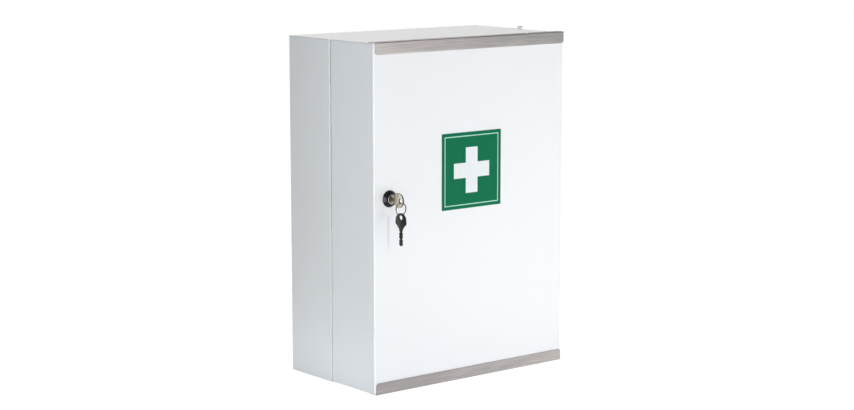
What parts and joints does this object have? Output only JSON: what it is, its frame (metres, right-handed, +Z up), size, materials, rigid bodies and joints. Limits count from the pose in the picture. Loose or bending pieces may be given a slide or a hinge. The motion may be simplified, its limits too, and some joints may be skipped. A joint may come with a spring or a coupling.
{
  "type": "lockable medicine cabinet",
  "caption": "White steel wall cabinet with a deep side-hinged door, stainless edge strips, a green first-aid sign and a cam lock with keys.",
  "frame": {"origin": "centre of the four wall fixing holes, on the outer plane of the back panel", "axes": "+X to the right seen from the front, +Y into the wall, +Z up"},
  "size_m": [0.3281, 0.2153, 0.4528],
  "materials": {
    "white_steel": "white powder coat, half gloss, fine orange peel",
    "brushed_stainless": "stainless steel brushed along its length",
    "zinc_steel": "bright zinc plating",
    "chrome_wire": "chromed steel rod",
    "rivet_aluminium": "bright blind rivets",
    "nickel": "nickel plating",
    "key_nickel": "warm nickel silver, slightly worn",
    "dark_key": "dark nickel-plated brass, dulled",
    "black_plastic": "black moulded plastic, satin",
    "grey_rubber": "soft rubber buffers",
    "green_film": "printed vinyl, safety green",
    "white_film": "printed vinyl, white"
  },
  "bodies": {
    "cabinet_body": {"body_shell": "white_steel", "back_panel": "white_steel", "body_shelf_lower": "white_steel", "body_shelf_upper": "white_steel", "keeper": "zinc_steel", "keeper_rivets": "zinc_steel", "buffers": "grey_rubber", "hinge_leaf_body": "zinc_steel", "hinge_rivets_body": "zinc_steel", "hinge_pin": "zinc_steel"},
    "door": {"door_shell": "white_steel", "door_shelf_lower": "white_steel", "door_shelf_upper": "white_steel", "rail_lower": "chrome_wire", "rail_middle": "chrome_wire", "rail_upper": "chrome_wire", "hinge_leaf_door": "zinc_steel", "hinge_rivets_door": "zinc_steel", "strip_top": "brushed_stainless", "strip_bottom": "brushed_stainless", "strip_rivets_top": "rivet_aluminium", "strip_rivets_bottom": "rivet_aluminium", "sign_panel": "green_film", "sign_border": "white_film", "sign_cross": "white_film", "lock_rosette": "black_plastic", "lock_barrel": "nickel", "lock_nut": "nickel"},
    "lock_plug": {"lock_plug": "nickel", "cam": "zinc_steel", "cam_washer": "zinc_steel", "cam_screw": "zinc_steel"},
    "key": {"key": "key_nickel"},
    "key_ring": {"key_ring": "nickel"},
    "spare_key": {"spare_key": "dark_key"}
  },
  "joints": [
    {"name": "door_swing", "type": "hinge", "parent": "cabinet_body", "child": "door", "pos_m": [0.1642, -0.0901, 0], "axis": [0, 0, 1], "range_deg": [0, 170]},
    {"name": "lock_turn", "type": "hinge", "parent": "door", "child": "lock_plug", "pos_m": [-0.1355, -0.182, 0.0275], "axis": [0, 1, 0], "range_deg": [0, 90]},
    {"name": "key_pull", "type": "slide", "parent": "lock_plug", "child": "key", "axis": [0, -1, 0], "range_m": [0, 0.03]},
    {"name": "ring_slip", "type": "hinge", "parent": "key", "child": "key_ring", "pos_m": [-0.1355, -0.2058, 0.01715], "axis": [0, 1, 0], "range_deg": [-90, 0]},
    {"name": "spare_key_swing", "type": "hinge", "parent": "key_ring", "child": "spare_key", "pos_m": [-0.1355, -0.2058, 0.0093], "axis": [-0.9976, -0.0698, 0], "range_deg": [-22, 60]}
  ],
  "couplings": [
    {"joint": "ring_slip", "follows": "lock_turn", "ratio": -1}
  ]
}
